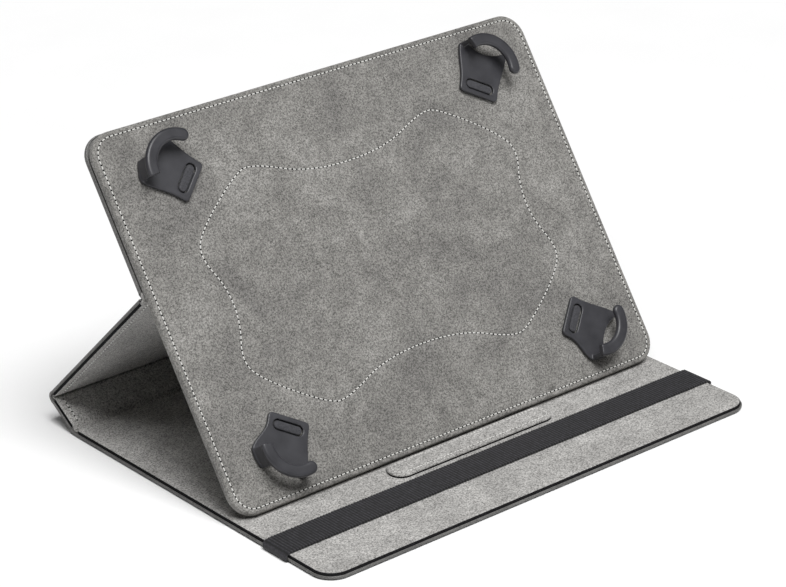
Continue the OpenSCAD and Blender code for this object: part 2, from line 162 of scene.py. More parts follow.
def select(obj, kind, test):
    """Selects the verts, edges or faces of obj that pass test. Returns how many."""
    mesh = bmesh.from_edit_mesh(obj.data)
    chosen = 0
    for item in getattr(mesh, kind):
        if test(item):
            item.select_set(True)
            chosen += 1
    bmesh.update_edit_mesh(obj.data)
    return chosen


def middle(edge):
    """The middle of an edge."""
    return (edge.verts[0].co + edge.verts[1].co) / 2


def along(edge, axis):
    """Whether an edge runs along axis 0, 1 or 2."""
    run = edge.verts[0].co - edge.verts[1].co
    return abs(run[axis]) > 0.999 * run.length


def apply_all(obj):
    """Applies every modifier, in order."""
    pick(obj)
    for modifier in list(obj.modifiers):
        bpy.ops.object.modifier_apply(modifier=modifier.name)


SOFT_SHADING = 50


def smooth(obj, degrees=35):
    """Shades obj smooth, apart from edges that turn by more than the angle."""
    pick(obj)
    bpy.ops.object.shade_smooth_by_angle(angle=math.radians(degrees))


def settle(obj, place=None):
    """Moves the object's own place, and then the panel's, into its mesh. The object ends at the origin."""
    pick(obj)
    bpy.ops.object.transform_apply(location=True, rotation=True, scale=True)
    if place is not None:
        obj.data.transform(place)
    obj.data.update()


def face_outwards(obj):
    """Turns all the faces of a closed piece outwards."""
    edit(obj)
    bpy.ops.mesh.select_all(action="SELECT")
    bpy.ops.mesh.normals_make_consistent(inside=False)
    leave()


def cube(name, low, high):
    """A box primitive from low to high, named."""
    low, high = Vector(low), Vector(high)
    bpy.ops.object.select_all(action="DESELECT")
    bpy.ops.mesh.primitive_cube_add(size=1, location=(low + high) / 2)
    obj = bpy.context.object
    obj.name = obj.data.name = name
    obj.scale = high - low
    bpy.ops.object.transform_apply(location=True, rotation=True, scale=True)
    return obj


def wear(obj, material, body=None, replaces=()):
    """Gives a finished piece its material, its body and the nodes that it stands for."""
    obj.data.materials.clear()
    obj.data.materials.append(material)
    if body:
        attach(obj, body)
    if replaces:
        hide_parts(*replaces)


# %% [markdown]
# ## Materials
# Nothing here is a picture: every pattern is made of noise, Voronoi cells and waves on Object
# coordinates, which are metres on the real object. So a pattern's scale is one over its size in metres.
# Colours are written as the hex values that a paint chart would give, and one function turns them to
# the linear values that light needs.

# %% Material helpers
NOISE = "ShaderNodeTexNoise"
RAMP = "ShaderNodeValToRGB"
MIX = "ShaderNodeMix"
BUMP = "ShaderNodeBump"
MULTIPLY = {"data_type": "RGBA", "blend_type": "MULTIPLY"}


def colour(text):
    """An sRGB hex colour as linear red, green, blue and alpha."""
    parts = [int(text[i : i + 2], 16) / 255 for i in (1, 3, 5)]
    return (*[c / 12.92 if c <= 0.04045 else ((c + 0.055) / 1.055) ** 2.4 for c in parts], 1)


def per(size_mm):
    """A pattern's scale for features of this size in millimetres."""
    return 1 / (size_mm * MM)


def node(material, kind, links=(), stops=(), **settings):
    """Adds a node. links are (output socket, input name or number) and stops a ramp's (position, hex).
    A setting that isn't the node's own property is an input's value."""
    made = material.node_tree.nodes.new(kind)
    for name, value in settings.items():
        if hasattr(made, name):
            setattr(made, name, value)
        else:
            made.inputs[name.replace("_", " ")].default_value = value
    for output, socket in links:
        material.node_tree.links.new(output, made.inputs[socket])
    for i, (at, text) in enumerate(stops):
        element = made.color_ramp.elements[i] if i < 2 else made.color_ramp.elements.new(at)
        element.position = at
        element.color = colour(text)
    return made


def new_material(name, roughness, **settings):
    """A material with its shader. Returns the material, the shader and the Object coordinates."""
    material = bpy.data.materials.new(name)
    material.use_nodes = True
    shader = material.node_tree.nodes["Principled BSDF"]
    shader.inputs["Roughness"].default_value = roughness
    for key, value in settings.items():
        shader.inputs[key.replace("_", " ")].default_value = value
    place = node(material, "ShaderNodeTexCoord").outputs["Object"]
    return material, shader, place


def finish_material(material, shader, base, bumps):
    """Joins the base colour and a chain of bumps to the shader. A bump is height, strength, depth in mm."""
    material.node_tree.links.new(base, shader.inputs["Base Color"])
    links = []
    for height, strength, depth in bumps:
        made = node(material, BUMP, [(height, "Height"), *links], Strength=strength, Distance=depth * MM)
        links = [(made.outputs["Normal"], "Normal")]
    material.node_tree.links.new(links[0][0], shader.inputs["Normal"])


# %% [markdown]
# ### Suede-like microfibre
# The lining is microfibre cloth with a short brushed nap. Light catches the nap where it leans one way
# and sinks into it where it leans the other, which gives soft clouds a few centimetres wide. Close up
# it is a fine salt-and-pepper grain. It has no gloss at all, but a faint sheen at a low angle.

# %% Microfibre
NAP_CLOUD = 30  # mm, where a hand has brushed the nap one way
NAP_PATCH = 6  # mm, smaller tufts within a cloud
NAP_GRAIN = 0.8  # mm. Real grain is about 0.2 mm, too fine to show, so it is drawn coarser
NAP_FIBRE = 0.45  # mm, drawn coarser in the same way


def microfibre(name, dark, mid, light):
    """Suede-like cloth in three tones of its nap."""
    m, shader, place = new_material(name, 0.95, Sheen_Weight=0.12, Sheen_Roughness=0.6,
                                    Specular_IOR_Level=0.2)
    at = [(place, "Vector")]
    cloud = node(m, NOISE, at, Scale=per(NAP_CLOUD), Detail=5.0, Roughness=0.62,
                 Distortion=0.6).outputs["Fac"]
    nap = node(m, RAMP, [(cloud, "Fac")], ((0.34, dark), (0.66, light), (0.5, mid))).outputs["Color"]
    patch = node(m, NOISE, at, Scale=per(NAP_PATCH), Detail=4.0, Roughness=0.7).outputs["Fac"]
    patches = node(m, RAMP, [(patch, "Fac")], ((0.36, "#d4d4d4"), (0.62, "#ffffff"))).outputs["Color"]
    grain = node(m, NOISE, at, Scale=per(NAP_GRAIN), Detail=4.0, Roughness=0.85).outputs["Fac"]
    specks = node(m, RAMP, [(grain, "Fac")], ((0.4, "#4c4c4a"), (0.58, "#ffffff"))).outputs["Color"]
    tone = node(m, MIX, [(nap, 6), (patches, 7)], **MULTIPLY, Factor=0.55).outputs[2]
    tone = node(m, MIX, [(tone, 6), (specks, 7)], **MULTIPLY, Factor=0.8).outputs[2]
    fibres = node(m, NOISE, at, Scale=per(NAP_FIBRE), Detail=2.0, Roughness=0.8).outputs["Fac"]
    finish_material(m, shader, tone, [(patch, 0.2, 0.35), (grain, 0.6, 0.3), (fibres, 0.4, 0.1)])
    return m


# two copies of one microfibre: the cover's is drawn lighter and the plate's darker, partly as painted light
# and shade for how each faces the overhead light
plate_suede = microfibre("mid grey microfibre suede", "#8e8c89", "#9d9b97", "#adaba7")
cover_suede = microfibre("light grey microfibre suede", "#c0bebb", "#cdcbc8", "#d9d7d4")

# %% [markdown]
# ### Synthetic leather
# The outside is polyurethane on cloth, embossed from a roll with a pebble grain a bit under a
# millimetre wide. It is a soft satin. The thin lines between the pebbles are drawn darker than their
# tops: painted shade in the valleys of the grain.

# %% Leather
leather, shader, place = new_material("charcoal synthetic leather, pebble grain", 0.5, IOR=1.5)
at = [(place, "Vector")]
wander = node(leather, NOISE, at, Scale=per(2.5), Detail=2.0).outputs["Color"]
shift = node(leather, "ShaderNodeVectorMath", [(wander, 0)], operation="SCALE", Scale=0.5 * MM).outputs[0]
moved = node(leather, "ShaderNodeVectorMath", [(place, 0), (shift, 1)], operation="ADD").outputs[0]
pebbles = node(leather, "ShaderNodeTexVoronoi", [(moved, "Vector")],
               feature="DISTANCE_TO_EDGE", Scale=per(0.9)).outputs["Distance"]
cloud = node(leather, NOISE, at, Scale=per(18), Detail=4.0).outputs["Fac"]
# the thin dark lines at the pebbles' edges are painted shade in the grain's valleys
grain = node(leather, RAMP, [(pebbles, "Fac")], ((0.0, "#4c4b4a"), (0.14, "#757472"))).outputs["Color"]
shade = node(leather, RAMP, [(cloud, "Fac")], ((0.35, "#cfcfcf"), (0.65, "#ffffff"))).outputs["Color"]
tone = node(leather, MIX, [(grain, 6), (shade, 7)], **MULTIPLY, Factor=0.7).outputs[2]
pores = node(leather, NOISE, at, Scale=per(0.3), Detail=2.0).outputs["Fac"]
puckers = node(leather, NOISE, at, Scale=per(8), Detail=2.0).outputs["Fac"]
finish_material(leather, shader, tone, [(puckers, 0.4, 0.5), (pebbles, 0.5, 0.12), (pores, 0.2, 0.04)])

# %% [markdown]
# ### Thread and needle holes
# The thread is light bonded polyester, twisted, so it carries tiny slanting ridges. A needle hole is
# only a pit that light doesn't reach. A small dark disc shows the same at this size and costs far fewer
# faces.

# %% Thread
thread, shader, place = new_material("light grey bonded polyester thread", 0.6, Sheen_Weight=0.2)
twist = node(thread, "ShaderNodeTexWave", [(place, "Vector")], bands_direction="DIAGONAL",
             Scale=per(2.2), Distortion=1.0).outputs["Fac"]
tone = node(thread, RAMP, [(twist, "Fac")], ((0.0, "#d0d0cc"), (1.0, "#f0f0ec"))).outputs["Color"]
finish_material(thread, shader, tone, [(twist, 0.5, 0.08)])

painted_hole_shadow, shader, place = new_material("shadow in a needle hole", 1.0, Specular_IOR_Level=0.0)
depth = node(painted_hole_shadow, NOISE, [(place, "Vector")], Scale=per(1)).outputs["Fac"]
tone = node(painted_hole_shadow, RAMP, [(depth, "Fac")], ((0.3, "#0e0e0f"), (0.7, "#1c1c1d"))).outputs["Color"]
finish_material(painted_hole_shadow, shader, tone, [(depth, 0.3, 0.1)])

# %% [markdown]
# ### Woven elastic and knitted straps
# The closing band is woven charcoal polyester with rubber cores. It has ribs across it, which are drawn
# every 1.6 mm, a little coarser than real, so that they show. The clips' straps are a finer, knitted
# elastic, with no rib to be seen.

# %% Elastic
# A wave texture repeats every 2 pi / (20 * scale), so the scale for one rib is pi / 10 over its width.
RIB = 1.6 * MM
elastic, shader, place = new_material("charcoal woven elastic", 0.85, Sheen_Weight=0.15)
at = [(place, "Vector")]
cords = node(elastic, NOISE, at, Scale=per(0.8), Detail=3.0).outputs["Fac"]
dye = node(elastic, RAMP, [(cords, "Fac")], ((0.35, "#100f13"), (0.65, "#35343a"))).outputs["Color"]
ribs = node(elastic, "ShaderNodeTexWave", at, bands_direction="X", Scale=math.pi / 10 / RIB,
            Distortion=0.4).outputs["Fac"]
# the rib pattern darkens the troughs between the ribs: painted shade, following the ribs' bump
rows = node(elastic, RAMP, [(ribs, "Fac")], ((0.2, "#3a3a3a"), (0.8, "#ffffff"))).outputs["Color"]
tone = node(elastic, MIX, [(dye, 6), (rows, 7)], **MULTIPLY, Factor=0.9).outputs[2]
finish_material(elastic, shader, tone, [(ribs, 0.8, 0.2), (cords, 0.6, 0.12)])

# %% Strap weave
strap_weave, shader, place = new_material("charcoal knitted elastic strap", 0.75, Sheen_Weight=0.15)
knit = node(strap_weave, NOISE, [(place, "Vector")], Scale=per(0.6), Detail=3.0).outputs["Fac"]
tone = node(strap_weave, RAMP, [(knit, "Fac")], ((0.3, "#26262a"), (0.7, "#434348"))).outputs["Color"]
finish_material(strap_weave, shader, tone, [(knit, 0.5, 0.1)])

# %% [markdown]
# ### Moulded plastic
# The clips are moulded from a flexible charcoal plastic, with a touch of give. The mould is finely
# sparked, so the surface breaks a highlight up, and it is wide and soft.

# %% Clip plastic
clip_plastic, shader, place = new_material("charcoal flexible plastic, spark finish", 0.4, IOR=1.52)
at = [(place, "Vector")]
flow = node(clip_plastic, NOISE, at, Scale=per(9), Detail=3.0).outputs["Fac"]
tone = node(clip_plastic, RAMP, [(flow, "Fac")], ((0.3, "#2f2f33"), (0.7, "#3e3e42"))).outputs["Color"]
spark = node(clip_plastic, NOISE, at, Scale=per(0.35), Detail=2.0).outputs["Fac"]
finish_material(clip_plastic, shader, tone, [(spark, 0.25, 0.05)])

# %% [markdown]
# ### Board and foam edges, painted shade, and glue
# The fibre board's and the closed-cell foam's cut edges are drawn near-black and rough, with no shine.
# They are painted shade: the dark line in the gap between a panel's leather roll and its lining, and the
# dark line at the stop ridge's foot. The plate is held to the rear panel by a sheet of acrylic adhesive,
# clear with a yellow cast.

# %% Board, foam and glue
# near-black: painted shade for the gap between a panel's leather roll and its lining
painted_gap_shade, shader, place = new_material("black fibre board, cut edge", 0.9, Specular_IOR_Level=0.1)
fibre = node(painted_gap_shade, NOISE, [(place, "Vector")], Scale=per(0.8), Detail=3.0).outputs["Fac"]
tone = node(painted_gap_shade, RAMP, [(fibre, "Fac")], ((0.3, "#151516"), (0.7, "#262628"))).outputs["Color"]
finish_material(painted_gap_shade, shader, tone, [(fibre, 0.4, 0.1)])

# near-black: painted shade for the dark line at the stop ridge's foot
painted_foot_shade, shader, place = new_material("black closed-cell foam, cut edge", 0.9, Specular_IOR_Level=0.1)
cells = node(painted_foot_shade, NOISE, [(place, "Vector")], Scale=per(0.4), Detail=2.0).outputs["Fac"]
tone = node(painted_foot_shade, RAMP, [(cells, "Fac")], ((0.3, "#141415"), (0.7, "#242426"))).outputs["Color"]
finish_material(painted_foot_shade, shader, tone, [(cells, 0.5, 0.1)])

glue, shader, place = new_material("acrylic adhesive sheet", 0.3, IOR=1.47)
streaks = node(glue, NOISE, [(place, "Vector")], Scale=per(4), Detail=3.0).outputs["Fac"]
tone = node(glue, RAMP, [(streaks, "Fac")], ((0.3, "#b0a67e"), (0.7, "#c4bb95"))).outputs["Color"]
finish_material(glue, shader, tone, [(streaks, 0.3, 0.1)])
print("materials:", [m.name for m in bpy.data.materials])

# %% [markdown]
# ## Panels
# A panel is a leather skin turned up round a board, and a suede lining glued over both. The skin
# is a box whose upright edges are beveled for the corners and whose rims are beveled for the roll of
# the leather. The roll stops short of the lining, and the board's edge between them is drawn near-black:
# a dark line of painted shade in that gap. The side at a fold stays square, because the fold's leather
# carries on from there.

# %% Panel skin, board and lining
ROLL_STEPS = 4
CORNER_STEPS = 14
OUTER_ROLL = 0.75 * MM  # the leather's bend at its outer face
INNER_ROLL = 0.6 * MM  # and where it turns in over the board
LEATHER_WALL = 0.3 * MM
LEATHER_STEP = 0.4 * MM


def rounded_box(name, half, y0, y1, z0, z1, r0, r1):
    """A box whose corners at y0 and y1 are rounded to r0 and r1, as seen from above."""
    obj = cube(name, (-half, y0, z0), (half, y1, z1))
    for y, r in ((y0, r0), (y1, r1)):
        if r > 0:
            edit(obj, "EDGE")
            select(obj, "edges", lambda e: along(e, 2) and abs(middle(e).y - y) < 1e-6)
            bpy.ops.mesh.bevel(offset=r, segments=CORNER_STEPS, affect="EDGES", clamp_overlap=True)
            leave()
    return obj


def bevel_rim(obj, z, fold_ys, width, steps=ROLL_STEPS):
    """Rounds the rim at height z, apart from its sides at a fold."""
    edit(obj, "EDGE")
    select(obj, "edges", lambda e: all(abs(v.co.z - z) < 1e-7 for v in e.verts)
           and not any(all(abs(v.co.y - y) < 1e-6 for v in e.verts) for y in fold_ys))
    bpy.ops.mesh.bevel(offset=width, segments=steps, affect="EDGES", clamp_overlap=True)
    leave()


def panel_skin(name, y0, y1, r0, r1, folds, height):
    """The leather round a panel's board. folds holds the y of each side that meets a fold."""
    obj = rounded_box(name, cover_w / 2, y0, y1, 0, height, r0, r1)
    bevel_rim(obj, 0, folds, OUTER_ROLL)
    bevel_rim(obj, height, folds, INNER_ROLL)
    edit(obj)
    select(obj, "faces", lambda f: f.normal.z > 0.9999)
    bpy.ops.mesh.inset(thickness=LEATHER_WALL, use_even_offset=True)
    bpy.ops.transform.translate(value=(0, 0, -LEATHER_STEP))
    leave()
    smooth(obj)
    return obj


def panel_layer(name, y0, y1, r0, r1, folds, z0, z1, short, soft):
    """A layer with a soft top edge, which stops short of the panel's sides but reaches up to a fold."""
    low = y0 if y0 in folds else y0 + short
    high = y1 if y1 in folds else y1 - short
    half = cover_w / 2 - short
    obj = rounded_box(name, half, low, high, z0, z1, max(r0 - short, 0), max(r1 - short, 0))
    bevel_rim(obj, z1, folds, soft)
    smooth(obj)
    return obj


LEATHER_TOP = 1.5 * MM
BOARD_TOP = panel_t - 0.3 * MM
BOARD_FOOT = LEATHER_TOP - 2 * LEATHER_STEP
BOARD_SHORT = 0.95 * MM
BOARD_EDGE = 0.1 * MM
LINING_EDGE = 0.3 * MM
OVERLAP = 0.1 * MM
PANELS = (
    # name, place, y0, y1, corner radius at y0, the sides that meet a fold
    ("front_cover", AT_COVER, -cover_d, -fold_gap, COVER_CORNER, (-fold_gap,)),
    ("spine", AT_SPINE, fold_gap, spine_len - fold_gap, 0, (fold_gap, spine_len - fold_gap)),
    ("prop", AT_PROP, fold_gap, prop_len - fold_gap, 0, (fold_gap, prop_len - fold_gap)),
)
for name, place, y0, y1, r0, folds in PANELS:
    skin = panel_skin(name + "_leather", y0, y1, r0, 0, folds, LEATHER_TOP)
    settle(skin, place)
    wear(skin, leather, name, (name + "_skin",))
    # the board's edge is drawn near-black, as painted shade in the gap between leather roll and lining
    board = panel_layer(name + "_board_edge", y0, y1, r0, 0, folds, BOARD_FOOT, BOARD_TOP, BOARD_SHORT,
                        BOARD_EDGE)
    settle(board, place)
    wear(board, painted_gap_shade, name, (name + "_board",))
    lining = panel_layer(name + "_suede", y0, y1, r0, 0, folds, BOARD_TOP - OVERLAP, panel_t, edge_roll,
                         LINING_EDGE)
    settle(lining, place)
    wear(lining, cover_suede, name, (name + "_lining",))
print("panels made:", [p[0] for p in PANELS])

# %% [markdown]
# The plate is glued to a fourth panel, the rear one. It is the same leather round a board, and reaches
# from the prop's fold to the plate's top edge.

# %% Rear panel's leather
rear_top = rear_high.y
rear_skin = panel_skin("rear_panel_leather", fold_gap, rear_top, 0, COVER_CORNER, (fold_gap,), rear_high.z)
settle(rear_skin, AT_PLATE)
wear(rear_skin, leather, "plate", ("rear_panel_skin", "rear_panel_board"))
print("rear panel:", round((rear_top - fold_gap) / MM, 1), "mm deep")

# %% [markdown]
# ## Folds
# Between two boards the leather and the suede are glued to each other and bend. On the outside of a
# bend they run round in one arc, so that piece is blended between the two panels. On the inside the
# face is pinched into a crease, and a crease is best made as two lips, one on each panel, that meet on
# the fold's line: when the fold opens they swing apart like the real ones. Each is a ribbon, made by
# extruding an edge along a profile and then giving it thickness.

# %% Ribbons along the folds
def thicken(obj, thickness):
    """Gives a face its thickness, half on each side."""
    solid = obj.modifiers.new("thickness", "SOLIDIFY")
    solid.thickness = thickness
    solid.offset = 0
    apply_all(obj)
    face_outwards(obj)


def ribbon(name, profile, half, thickness):
    """An edge along X, extruded through the profile's (y, z) points, and thickened about them."""
    (y0, z0), (y1, z1) = profile[:2]
    bpy.ops.object.select_all(action="DESELECT")
    slope = math.atan2(z1 - z0, y1 - y0)
    centre = (0, (y0 + y1) / 2, (z0 + z1) / 2)
    bpy.ops.mesh.primitive_plane_add(size=1, location=centre, rotation=(slope, 0, 0))
    obj = bpy.context.object
    obj.name = obj.data.name = name
    obj.scale = (2 * half, math.hypot(y1 - y0, z1 - z0), 1)
    bpy.ops.object.transform_apply(location=True, rotation=True, scale=True)
    edit(obj, "EDGE")
    select(obj, "edges", lambda e: along(e, 0) and (middle(e) - Vector((0, y1, z1))).length < 1e-6)
    for (ya, za), (yb, zb) in zip(profile[1:], profile[2:]):
        bpy.ops.mesh.extrude_edges_move(TRANSFORM_OT_translate={"value": (0, yb - ya, zb - za)})
    leave()
    thicken(obj, thickness)
    return obj


# %% [markdown]
# The outer arc leaves each board along that panel's own direction, as bent leather does, so it is a
# curve with a handle at each end. A crease's lip sinks smoothly from the panel's face towards the
# middle of its thickness.

# %% Arcs and lips
ARC_STEPS = 12
ARC_HANDLE = 0.9 * fold_gap
FOLD_T = 1.2 * MM
LIP_STEPS = 7
LIP_T = 0.6 * MM
LIP_RUN = 1.4  # how much faster than the fold's gap the lip reaches its full depth
FOLD_SHADING = 60
lining_half = cover_w / 2 - edge_roll
skin_half = cover_w / 2 - 0.2 * MM
LIP_DEPTH = 0.3 * MM  # the lip's middle lies this far under the panel's face, and off its middle
suede_zs = (panel_t - LIP_DEPTH, panel_t / 2 + LIP_DEPTH)
skin_zs = (LIP_DEPTH, panel_t / 2 - LIP_DEPTH)
spine_end = spine_len - fold_gap
prop_end = prop_len - fold_gap


def outer_arc(name, place_a, end_a, place_b, end_b, z, material, replaced):
    """A ribbon round the outside of a bend, from the board's end on one panel to that on the next."""
    start = place_a @ Vector((0, end_a, z))
    end = place_b @ Vector((0, end_b, z))
    handle_a = start + place_a.to_3x3() @ Vector((0, ARC_HANDLE, 0))
    handle_b = end - place_b.to_3x3() @ Vector((0, ARC_HANDLE, 0))
    profile = []
    for i in range(ARC_STEPS + 1):
        t = i / ARC_STEPS
        p = (1 - t) ** 3 * start + 3 * t * (1 - t) ** 2 * handle_a
        p += 3 * t * t * (1 - t) * handle_b + t ** 3 * end
        profile.append((p.y, p.z))
    obj = ribbon(name, profile, skin_half, FOLD_T)
    smooth(obj, FOLD_SHADING)
    settle(obj)
    wear(obj, material, None, replaced)
    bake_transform(obj)
    return obj


def lip(name, place, end, way, zs, material, body, slot, half):
    """Half of a crease: from the board's end to the fold's line, sinking from one z to the other."""
    profile = []
    for i in range(LIP_STEPS + 1):
        t = i / LIP_STEPS
        eased = min(1, LIP_RUN * t)
        eased = eased * eased * (3 - 2 * eased)
        profile.append((end + way * fold_gap * t, zs[0] + (zs[1] - zs[0]) * eased))
    obj = ribbon(name, profile, half, LIP_T)
    smooth(obj, FOLD_SHADING)
    settle(obj, place)
    wear(obj, material, body, ())
    return obj


# %% Creases on the inside of the bends
suede_lip = (suede_zs, cover_suede)
leather_lip = (skin_zs, leather)
cover_lip = lip("front_cover_crease", AT_COVER, -fold_gap, 1, *suede_lip, "front_cover", "lining",
                lining_half)
spine_lips = [
    lip("spine_front_crease", AT_SPINE, fold_gap, -1, *suede_lip, "spine", "lining", lining_half),
    lip("spine_rear_crease", AT_SPINE, spine_end, 1, *suede_lip, "spine", "lining", lining_half),
]
prop_lip = lip("prop_bottom_crease", AT_PROP, fold_gap, -1, *suede_lip, "prop", "lining", lining_half)
prop_top_lip = lip("prop_top_crease", AT_PROP, prop_end, 1, *leather_lip, "prop", "skin", skin_half)
rear_lip = lip("rear_panel_crease", AT_PLATE, fold_gap, -1, *leather_lip, "plate", "skin", skin_half)
print("six lips made, each", round(fold_gap / MM, 1), "mm deep")

# %% Arcs round the outside of the bends
front_arc = outer_arc("front_fold_leather", AT_COVER, -fold_gap, AT_SPINE, fold_gap, FOLD_T / 2, leather,
                      ("front_fold",))
spine_arc = outer_arc("spine_fold_leather", AT_SPINE, spine_end, AT_PROP, fold_gap, FOLD_T / 2, leather,
                      ("spine_fold",))
SUEDE_ARC_Z = panel_t - 0.7 * MM
prop_arc = outer_arc("prop_fold_suede", AT_PROP, prop_end, AT_PLATE, fold_gap, SUEDE_ARC_Z, cover_suede,
                     ("prop_fold",))
print("three arcs made, each in", ARC_STEPS, "steps")

# %% [markdown]
# Every skin and lining is a sheet that was cut flat, glued down and pulled tight.

# %% [markdown]
# ## The holding plate
# The plate is a board wrapped in suede that is drawn darker than the cover's, partly as painted shade,
# since the plate leans away from the overhead light. Its face is one grid, so that the surface itself
# can dip along the two lines of stitching. The grid's outer rows lie closer together, where the cloth
# turns over the edge, and its corners are pulled from square to round: a point keeps its distance from
# the corner's two sides, and only its direction changes. The sides and the back are the grid's border,
# extruded down and filled.

# %% Plate face
EDGE_ROWS = (0, 0.12, 0.35, 0.7, 1.2, 1.8, 2.3, 2.7, 3.1, 3.5, 3.9, 4.5)  # mm in from the edge
PLATE_ROLL = 1.4 * MM
STITCH_INSET = 2.6 * MM
CELL = 1.0 * MM
ROW_DIP = (0.28 * MM, 0.65 * MM)  # depth and half width of the dip along the edge's stitching
SEAM_DIP = (0.42 * MM, 1.4 * MM)  # and along the middle seam
SEAM_QUARTER = ((88, 8.5), (95.5, 25.5), (88.5, 36.5), (62, 55.5), (51, 58.5), (22, 46))  # mm, x and y
SEAM_STEPS = 8
TINY = 1e-9


def seam_line():
    """The closed, wavy curve of the seam round the plate's middle, rounded at each of its corners."""
    quarter = [Vector((x * MM, y * MM)) for x, y in SEAM_QUARTER]
    mirrored = ((1, 1, 1), (-1, 1, -1), (-1, -1, 1), (1, -1, -1))
    corners = [Vector((sx * q.x, sy * q.y)) for sx, sy, order in mirrored for q in quarter[::order]]
    line = []
    for i, b in enumerate(corners):
        a, c = corners[i - 1], corners[(i + 1) % len(corners)]
        for step in range(SEAM_STEPS):
            t = step / SEAM_STEPS
            p = (1 - t) ** 2 * (a + b) / 2 + 2 * t * (1 - t) * b + t * t * (b + c) / 2
            line.append(Vector((p.x, p.y + plate_mid_y, 0)))
    return line


def spaced(size):
    """Grid positions from 0 to size: the edge rows, even cells, and the edge rows again."""
    rows = [d * MM for d in EDGE_ROWS]
    count = round((size - 2 * rows[-1]) / CELL)
    inner = [rows[-1] + (size - 2 * rows[-1]) * i / count for i in range(1, count)]
    return np.array(rows + inner + [size - d for d in rows[::-1]])


def plate_face_grid(name):
    """The plate's face as one grid, with round corners, a rolled edge and dips along the stitching."""
    xs, ys = spaced(plate_w), spaced(plate_h)
    bpy.ops.object.select_all(action="DESELECT")
    bpy.ops.mesh.primitive_grid_add(x_subdivisions=len(xs) - 1, y_subdivisions=len(ys) - 1, size=1)
    obj = bpy.context.object
    obj.name = obj.data.name = name
    co = np.zeros(len(obj.data.vertices) * 3)
    obj.data.vertices.foreach_get("co", co)
    co = co.reshape(-1, 3)
    x = np.interp((co[:, 0] + 0.5) * (len(xs) - 1), range(len(xs)), xs)
    y = np.interp((co[:, 1] + 0.5) * (len(ys) - 1), range(len(ys)), ys)
    edge = np.minimum(np.minimum(x, plate_w - x), np.minimum(y, plate_h - y))
    # pull the corners from square to round
    cx = np.clip(x, PLATE_CORNER, plate_w - PLATE_CORNER)
    cy = np.clip(y, PLATE_CORNER, plate_h - PLATE_CORNER)
    dx, dy = x - cx, y - cy
    reach = np.hypot(dx, dy)
    stretch = np.where(reach > TINY, np.maximum(abs(dx), abs(dy)) / np.maximum(reach, TINY), 1)
    x, y = cx + dx * stretch, cy + dy * stretch
    inside = np.clip(PLATE_ROLL - edge, 0, PLATE_ROLL)
    drop = PLATE_ROLL - np.sqrt(PLATE_ROLL ** 2 - inside ** 2)
    drop += ROW_DIP[0] * np.exp(-(((edge - STITCH_INSET) / ROW_DIP[1]) ** 2))
    co = np.stack([x - plate_w / 2, y + plate_low.y, plate_face - drop], 1)
    co[:, 2] -= seam_dip(co)
    obj.data.vertices.foreach_set("co", co.ravel())
    return obj


def seam_dip(points):
    """How far the face sinks at each point for the seam, which pulls the cloth down on both sides."""
    line = np.array([p[:2] for p in seam_line()])
    a, b = line, np.roll(line, -1, 0)
    nearest = np.full(len(points), np.inf)
    for p, q in zip(a, b):
        d = q - p
        t = np.clip(((points[:, :2] - p) @ d) / (d @ d), 0, 1)
        nearest = np.minimum(nearest, np.hypot(*(points[:, :2] - p - t[:, None] * d).T))
    return SEAM_DIP[0] * np.exp(-((nearest / SEAM_DIP[1]) ** 2))


# %% Plate's face and sides
plate_suede_face = plate_face_grid("plate_face_suede")
edit(plate_suede_face)
bpy.ops.mesh.select_all(action="SELECT")
bpy.ops.mesh.region_to_loop()
wall = plate_face - PLATE_ROLL - back_high.z
bpy.ops.mesh.extrude_edges_move(TRANSFORM_OT_translate={"value": (0, 0, -0.5 * wall)})
bpy.ops.mesh.extrude_edges_move(TRANSFORM_OT_translate={"value": (0, 0, -0.5 * wall)})
bpy.ops.mesh.edge_face_add()
leave()
face_outwards(plate_suede_face)
smooth(plate_suede_face, 40)
settle(plate_suede_face, AT_PLATE)
wear(plate_suede_face, plate_suede, "plate", ("plate_face_lining", "plate_board"))
print("plate face:", len(plate_suede_face.data.polygons), "faces")

# %% [markdown]
# The plate's back is a plain sheet of the same suede, cut to the plate's outline, so a box with rounded
# corners is enough. Between it and the rear panel lies the sheet of glue, which keeps its solid from
# the frame.

# %% Plate back and glue
plate_back = rounded_box("plate_back_suede", plate_w / 2, plate_low.y, plate_high.y, back_low.z,
                         back_high.z, PLATE_CORNER, PLATE_CORNER)
bevel_rim(plate_back, back_low.z, (), 0.4 * MM)
smooth(plate_back)
settle(plate_back, AT_PLATE)
wear(plate_back, plate_suede, "plate", ("plate_back_lining",))
sheet_of_glue = frame["nodes"]["plate_glue_sheet"]
sheet_of_glue.data.materials.clear()
sheet_of_glue.data.materials.append(glue)
print("plate thickness in mm:", round((plate_face - back_low.z) / MM, 2))

# %% [markdown]
# ## Stitching
# Every row is lockstitch: short stitches in line, each diving into a needle hole at both ends. One
# stitch is a six-sided cylinder with tapered ends. It is copied along a path, turned to follow it, and
# the copies are joined to one row. The holes are low discs, half sunk in the cloth.

# %% One stitch and one needle hole
PLATE_THREAD = (2.4 * MM, 0.7, 0.23 * MM)  # pitch, the share of it that a stitch covers, and radius
RIDGE_THREAD = (2.0 * MM, 0.7, 0.22 * MM)
HOLE_R = 0.38 * MM
HOLE_DEPTH = 0.3 * MM
HOLE_SINK = 0.11 * MM
HOLE_SHARE = 0.94  # two neighbouring stitches go down side by side in one hole
HAND = 0.04  # radians, the most that a stitch slants off its row


